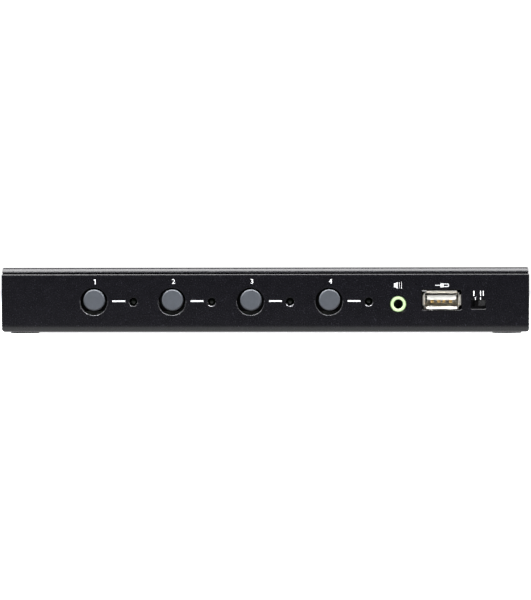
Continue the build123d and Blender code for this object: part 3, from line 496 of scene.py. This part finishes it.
# Loudspeaker pictogram over the audio jack: a magnet, a cone and two sound waves
PICTOGRAM_Z = 18.2
jack = middle("audio_jack_body") / MM
magnet, cone, mouth = jack.x - 1.6, jack.x - 1.05, jack.x - 0.25
magnet_half_height = 0.75
mouth_half_height = 1.25
wave_centre = jack.x - 5
speaker = [
    [
        (magnet, PICTOGRAM_Z - magnet_half_height),
        (cone, PICTOGRAM_Z - magnet_half_height),
        (mouth, PICTOGRAM_Z - mouth_half_height),
        (mouth, PICTOGRAM_Z + mouth_half_height),
        (cone, PICTOGRAM_Z + magnet_half_height),
        (magnet, PICTOGRAM_Z + magnet_half_height),
    ],
    arc_band(wave_centre, PICTOGRAM_Z, 5.36, 0.13, -12, 12),
    arc_band(wave_centre, PICTOGRAM_Z, 6.2, 0.14, -12, 12),
]
printed("speaker_mark", speaker, -1)


def plug_outlines(x, z):
    """A plain plug seen from the side: a lead, a body and two prongs joined at their ends."""
    return [
        bar(x - 1.7, z, 2.0, 0.3),
        bar(x - 0.1, z, 1.2, 1.5),
        bar(x + 1.3, z + 0.5, 1.6, 0.28),
        bar(x + 1.3, z - 0.5, 1.6, 0.28),
        bar(x + 2.24, z, 0.28, 1.28),
    ]


# Plain plug pictogram over the USB port
port = middle("front_usb_shell") / MM
printed("plug_mark", plug_outlines(port.x + 0.2, PICTOGRAM_Z), -1)

# Ticks and position marks over the slide switch: one bar and two bars
TICK_Z = 13.15
TICK_SIZE = (0.34, 1.0)
POSITION_Z = 15.15
POSITION_HEIGHT = 1.9
knob = middle("slide_switch_knob") / MM
ticks = (knob.x - 2.5, knob.x - 0.57)
one_bar = [bar(ticks[0] - 0.6, POSITION_Z, 0.5, POSITION_HEIGHT)]
two_bars = [bar(x, POSITION_Z, 0.36, POSITION_HEIGHT) for x in (ticks[1], ticks[1] + 1.05)]
printed("slide_ticks", [bar(x, TICK_Z, *TICK_SIZE) for x in ticks], -1)
printed("slide_mark_one", one_bar, -1)
printed("slide_mark_two", two_bars, -1)


def screen_outlines(x, z):
    """A screen on its stand."""
    return [
        bar(x, z + 1.1, 3.2, 0.26),
        bar(x, z - 0.7, 3.2, 0.26),
        bar(x - 1.47, z + 0.2, 0.26, 1.54),
        bar(x + 1.47, z + 0.2, 0.26, 1.54),
        bar(x, z - 1.2, 1.5, 0.26),
    ]


# Rear marks: a number over each computer's pair of ports, and pictograms over the rest
REAR_MARK_Z = 20.4
REAR_NUMBER_HEIGHT = 2.2
for number in range(1, 5):
    video = middle(f"computer_video_shell_{number}") / MM
    data = middle(f"computer_usb_shell_{number}") / MM
    between = (video.x + data.x) / 2
    number_mark(f"rear_number_{number}", str(number), between, REAR_MARK_Z, REAR_NUMBER_HEIGHT, facing=1)
console_video = middle("console_video_shell") / MM
printed("screen_mark", screen_outlines(console_video.x, REAR_MARK_Z), 1)
for number in (1, 2):
    console_port = middle(f"console_usb_shell_{number}") / MM
    printed(f"rear_plug_mark_{number}", plug_outlines(console_port.x, REAR_MARK_Z), 1)
power = middle("power_jack_body") / MM
power_ring = arc_band(power.x, REAR_MARK_Z, 0.95, 0.26, -60, 240, steps=24)
printed("power_mark", [power_ring, bar(power.x, REAR_MARK_Z - 0.2, 0.26, 1.3)], 1)


# ------------------------------------------------------------------ stage, lights, camera


def make_floor():
    """A pale table, white to the camera. Elsewhere it is dark, but glows close to the case."""
    glow_full = 1 * MM
    glow_end = 8 * MM
    glow_strength = 1.1
    far_colour = (0.03, 0.03, 0.03)
    near_colour = (0.12, 0.12, 0.12)
    grid = bmesh.new()
    bmesh.ops.create_grid(grid, x_segments=1, y_segments=1, size=FLOOR_SIZE)
    mesh = bpy.data.meshes.new("floor")
    grid.to_mesh(mesh)
    grid.free()
    floor = bpy.data.objects.new("floor", mesh)
    floor.location = (0, 0, cad_box[0].z)
    bpy.context.scene.collection.objects.link(floor)
    s = Shader("floor_white", WHITE, 0.6)
    case_corner = (case_width / 2, case_depth / 2, 0)
    past_corner = s.vector_step("SUBTRACT", s.vector_step("ABSOLUTE", s.place), case_corner)
    from_case = s.nodes.new("ShaderNodeVectorMath")
    from_case.operation = "LENGTH"
    s.links.new(s.vector_step("MAXIMUM", past_corner, (0, 0, 0)), from_case.inputs[0])
    near = s.spread(from_case.outputs["Value"], glow_full, glow_end, 1.0, 0.0)
    seen = s.nodes.new("ShaderNodeLightPath").outputs["Is Camera Ray"]
    s.feed("Base Color", s.mix(seen, s.mix(near, far_colour, near_colour), WHITE))
    s.main.inputs["Emission Color"].default_value = (*WHITE, 1)
    s.feed("Emission Strength", s.maths("MAXIMUM", seen, s.product(near, glow_strength)))
    mesh.materials.append(s.material)


def softbox(name, place, aim, width, height, radiance):
    """A rectangular lamp of a given surface brightness, aimed at a point."""
    lamp = bpy.data.lights.new(name, "AREA")
    lamp.shape = "RECTANGLE"
    lamp.size = width
    lamp.size_y = height
    lamp.energy = radiance * math.pi * width * height
    holder = bpy.data.objects.new(name, lamp)
    holder.location = place
    direction = Vector(aim) - Vector(place)
    holder.rotation_euler = direction.to_track_quat("-Z", "Y").to_euler()
    holder.visible_camera = False
    bpy.context.scene.collection.objects.link(holder)


FRONT_MIDDLE = (0, FRONT_Y, 0)
REAR_MIDDLE = (0, REAR_Y, 0)
make_floor()
softbox("overhead", (0, -0.11, 0.40), (0, -0.05, 0), width=0.9, height=0.39, radiance=12.0)
softbox("key_left", (-0.64, -0.74, 0.93), FRONT_MIDDLE, width=0.8, height=0.8, radiance=8.0)
softbox("fill_right", (0.68, -0.72, 0.93), FRONT_MIDDLE, width=0.8, height=0.7, radiance=3.6)
softbox("rear_left", (-0.95, 0.85, 0.75), REAR_MIDDLE, width=0.6, height=0.5, radiance=10.0)
softbox("rear_right", (0.95, 0.85, 0.75), REAR_MIDDLE, width=0.6, height=0.5, radiance=10.0)


def make_world():
    """Dim light from behind the object, dimmer from in front, and white to the camera all round."""
    in_front = 0.03
    behind = 0.16
    backdrop_white = 1.1
    world = bpy.data.worlds.new("studio")
    bpy.context.scene.world = world
    world.use_nodes = True
    nodes = world.node_tree.nodes
    links = world.node_tree.links
    direction = nodes.new("ShaderNodeTexCoord").outputs["Generated"]
    parts = nodes.new("ShaderNodeSeparateXYZ")
    links.new(direction, parts.inputs[0])
    fade = nodes.new("ShaderNodeMapRange")
    fade.inputs["From Min"].default_value = -0.1
    fade.inputs["From Max"].default_value = 0.7
    fade.inputs["To Min"].default_value = in_front
    fade.inputs["To Max"].default_value = behind
    links.new(parts.outputs["Y"], fade.inputs["Value"])
    room = nodes["Background"]
    room.inputs["Color"].default_value = (1, 1, 1, 1)
    links.new(fade.outputs["Result"], room.inputs["Strength"])
    backdrop = nodes.new("ShaderNodeBackground")
    backdrop.inputs["Color"].default_value = (1, 1, 1, 1)
    backdrop.inputs["Strength"].default_value = backdrop_white
    choice = nodes.new("ShaderNodeMixShader")
    links.new(nodes.new("ShaderNodeLightPath").outputs["Is Camera Ray"], choice.inputs["Fac"])
    links.new(room.outputs["Background"], choice.inputs[1])
    links.new(backdrop.outputs["Background"], choice.inputs[2])
    links.new(choice.outputs["Shader"], nodes["World Output"].inputs["Surface"])


make_world()

# Nearly square on to the front, from just below the level of the case's top, with a narrow margin
SENSOR_WIDTH = 36.0
view_width = 1.005872 * case_width
distance = 0.70
eye_height = 20.0 * MM
yaw = math.radians(1.6)
roll = math.radians(0.076)
aim = Vector((0.43 * MM, FRONT_Y, 12.70 * MM))
eye = aim + Vector((math.sin(yaw) * distance, -math.cos(yaw) * distance, eye_height - aim.z))
camera = bpy.data.cameras.new("camera")
camera.sensor_fit = "HORIZONTAL"
camera.sensor_width = SENSOR_WIDTH
camera.lens = SENSOR_WIDTH * distance / view_width
camera.clip_start = 0.01
camera_object = bpy.data.objects.new("camera", camera)
camera_object.location = eye
upright = (aim - eye).to_track_quat("-Z", "Y").to_matrix()
camera_object.rotation_euler = (upright @ Matrix.Rotation(-roll, 3, "Z")).to_euler()
bpy.context.scene.collection.objects.link(camera_object)
bpy.context.scene.camera = camera_object
bpy.context.scene.view_settings.view_transform = "Standard"
